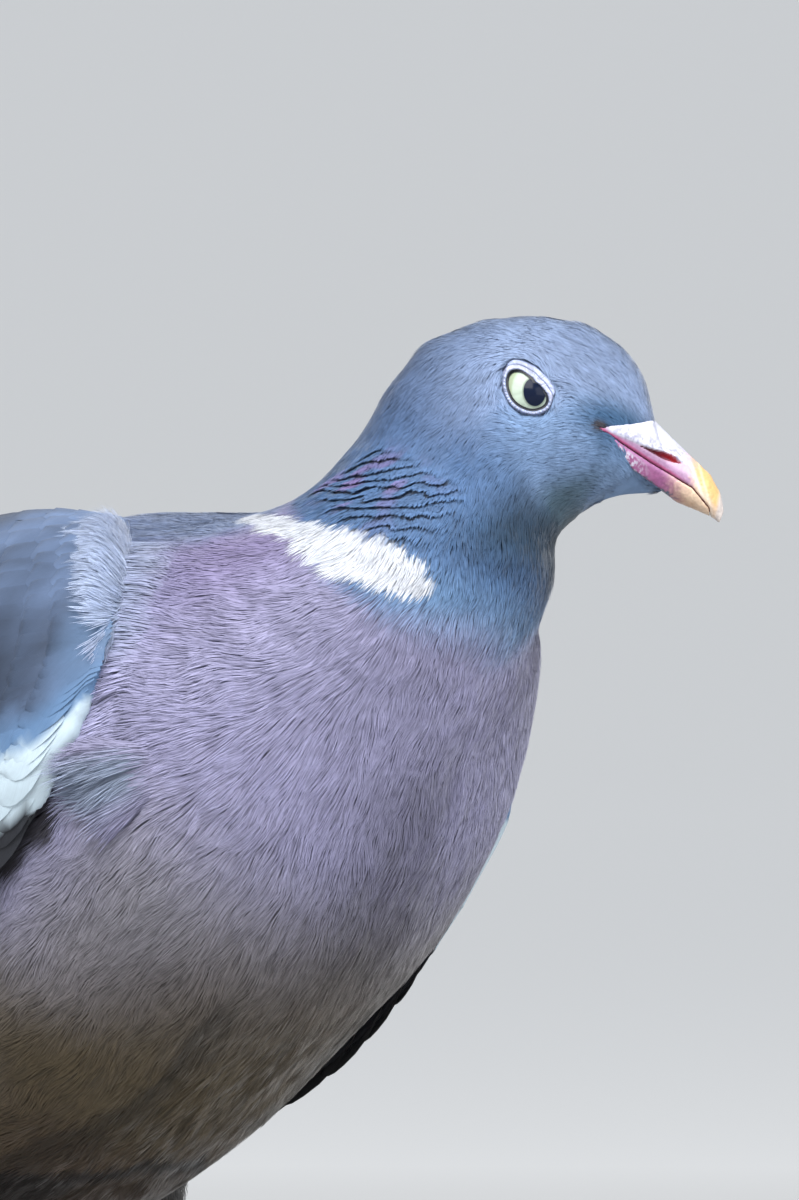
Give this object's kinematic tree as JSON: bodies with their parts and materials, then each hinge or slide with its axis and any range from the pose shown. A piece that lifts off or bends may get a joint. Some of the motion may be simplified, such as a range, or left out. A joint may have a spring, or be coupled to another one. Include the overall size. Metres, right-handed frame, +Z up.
{
  "type": "standing wood pigeon, life-size model",
  "caption": "Life-size still model of an adult wood pigeon standing on flat floor, wings folded, head turned to its left and bill pointing down.",
  "frame": {"origin": "centre of the bounding box's bottom face, on the floor the bird stands on", "axes": "+X the way the breast faces, +Y to the bird's left, +Z up"},
  "size_m": [0.345, 0.123, 0.2169],
  "materials": {
    "head": "blue-grey short feathers",
    "neck": "blue-grey feathers with a green and purple sheen and a white patch on each side",
    "trunk": "mauve-pink to grey-brown breast and belly, blue-grey back",
    "wing": "smooth blue-grey feathers with a white band",
    "primaries": "dark slate flight feathers",
    "tail": "grey tail feathers with a blackish end",
    "thigh": "soft grey feathers",
    "leg": "pink-red scaled skin",
    "claw": "dark horn",
    "bill_upper": "powdery white cere, pink sides and a yellow-orange tip",
    "bill_lower": "pink horn with a yellowish tip",
    "eye": "wet pale yellow eye with a dark pupil"
  },
  "bodies": {
    "root": {"head": "head", "neck": "neck", "trunk": "trunk", "tail": "tail", "wing_right": "wing", "wing_left": "wing", "primaries_right": "primaries", "primaries_left": "primaries", "thigh_right": "thigh", "thigh_left": "thigh", "shank_right": "leg", "shank_left": "leg", "foot_right": "leg", "foot_left": "leg", "claw_right_hind": "claw", "claw_right_inner": "claw", "claw_right_middle": "claw", "claw_right_outer": "claw", "claw_left_hind": "claw", "claw_left_inner": "claw", "claw_left_middle": "claw", "claw_left_outer": "claw", "bill_upper": "bill_upper", "bill_lower": "bill_lower", "eye_right": "eye", "eye_left": "eye"}
  },
  "joints": []
}
